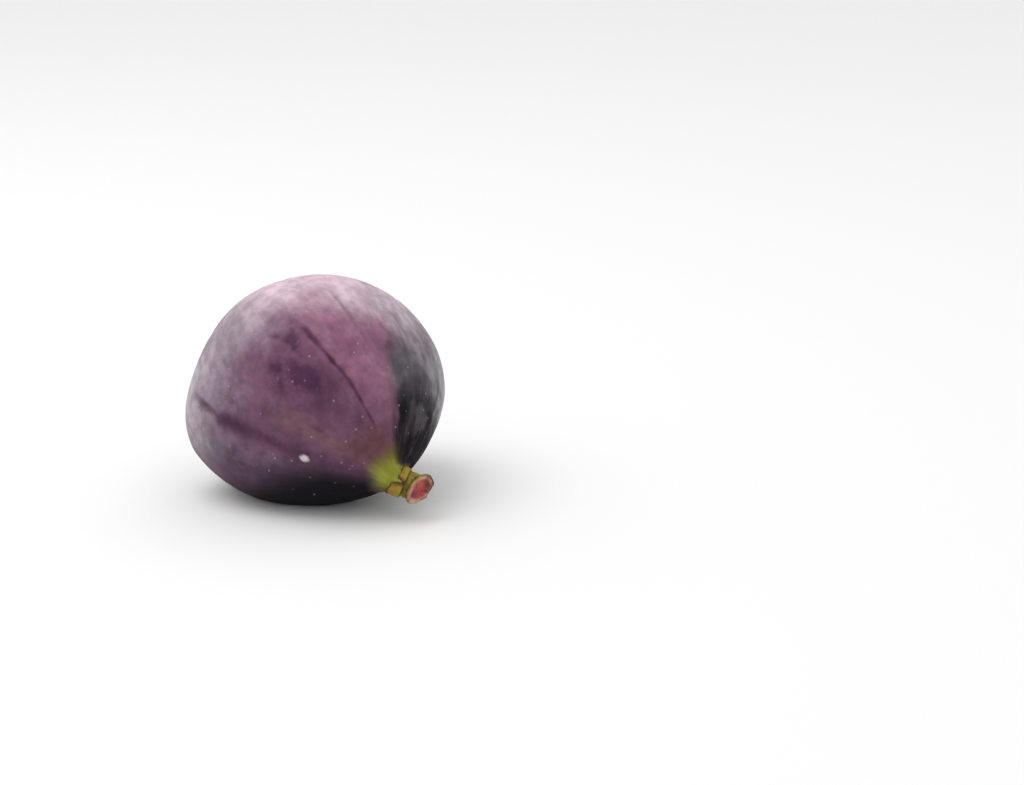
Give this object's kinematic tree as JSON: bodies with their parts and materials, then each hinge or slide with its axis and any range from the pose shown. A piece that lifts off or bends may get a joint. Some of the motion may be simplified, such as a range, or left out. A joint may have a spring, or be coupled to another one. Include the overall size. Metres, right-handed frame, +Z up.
{
  "type": "fresh fig",
  "caption": "Whole ripe dark-skinned fig as picked, lying on its side with a short cut stalk, small basal bracts at the neck and a scaly eye at the far end",
  "frame": {"origin": "on the resting surface, under the middle of the fig's bounding box", "axes": "+Z up from the surface the fig lies on; the stalk points towards -Y and slopes down, and the eye end is towards +Y; +X is to the right when looking along +Y"},
  "size_m": [0.0584, 0.0604, 0.0497],
  "materials": {
    "fig_skin": "soft satin fruit skin with a waxy bloom",
    "fig_stalk": "matt, fresh green stalk with a raw cut end",
    "fig_bract": "matt, drying at the edge",
    "eye_scale": "matt"
  },
  "bodies": {
    "root": {"fruit": "fig_skin", "stalk": "fig_stalk", "basal_bract_1": "fig_bract", "basal_bract_2": "fig_bract", "basal_bract_3": "fig_bract", "eye_scale_1": "eye_scale", "eye_scale_2": "eye_scale", "eye_scale_3": "eye_scale", "eye_scale_4": "eye_scale", "eye_scale_5": "eye_scale"}
  },
  "joints": []
}
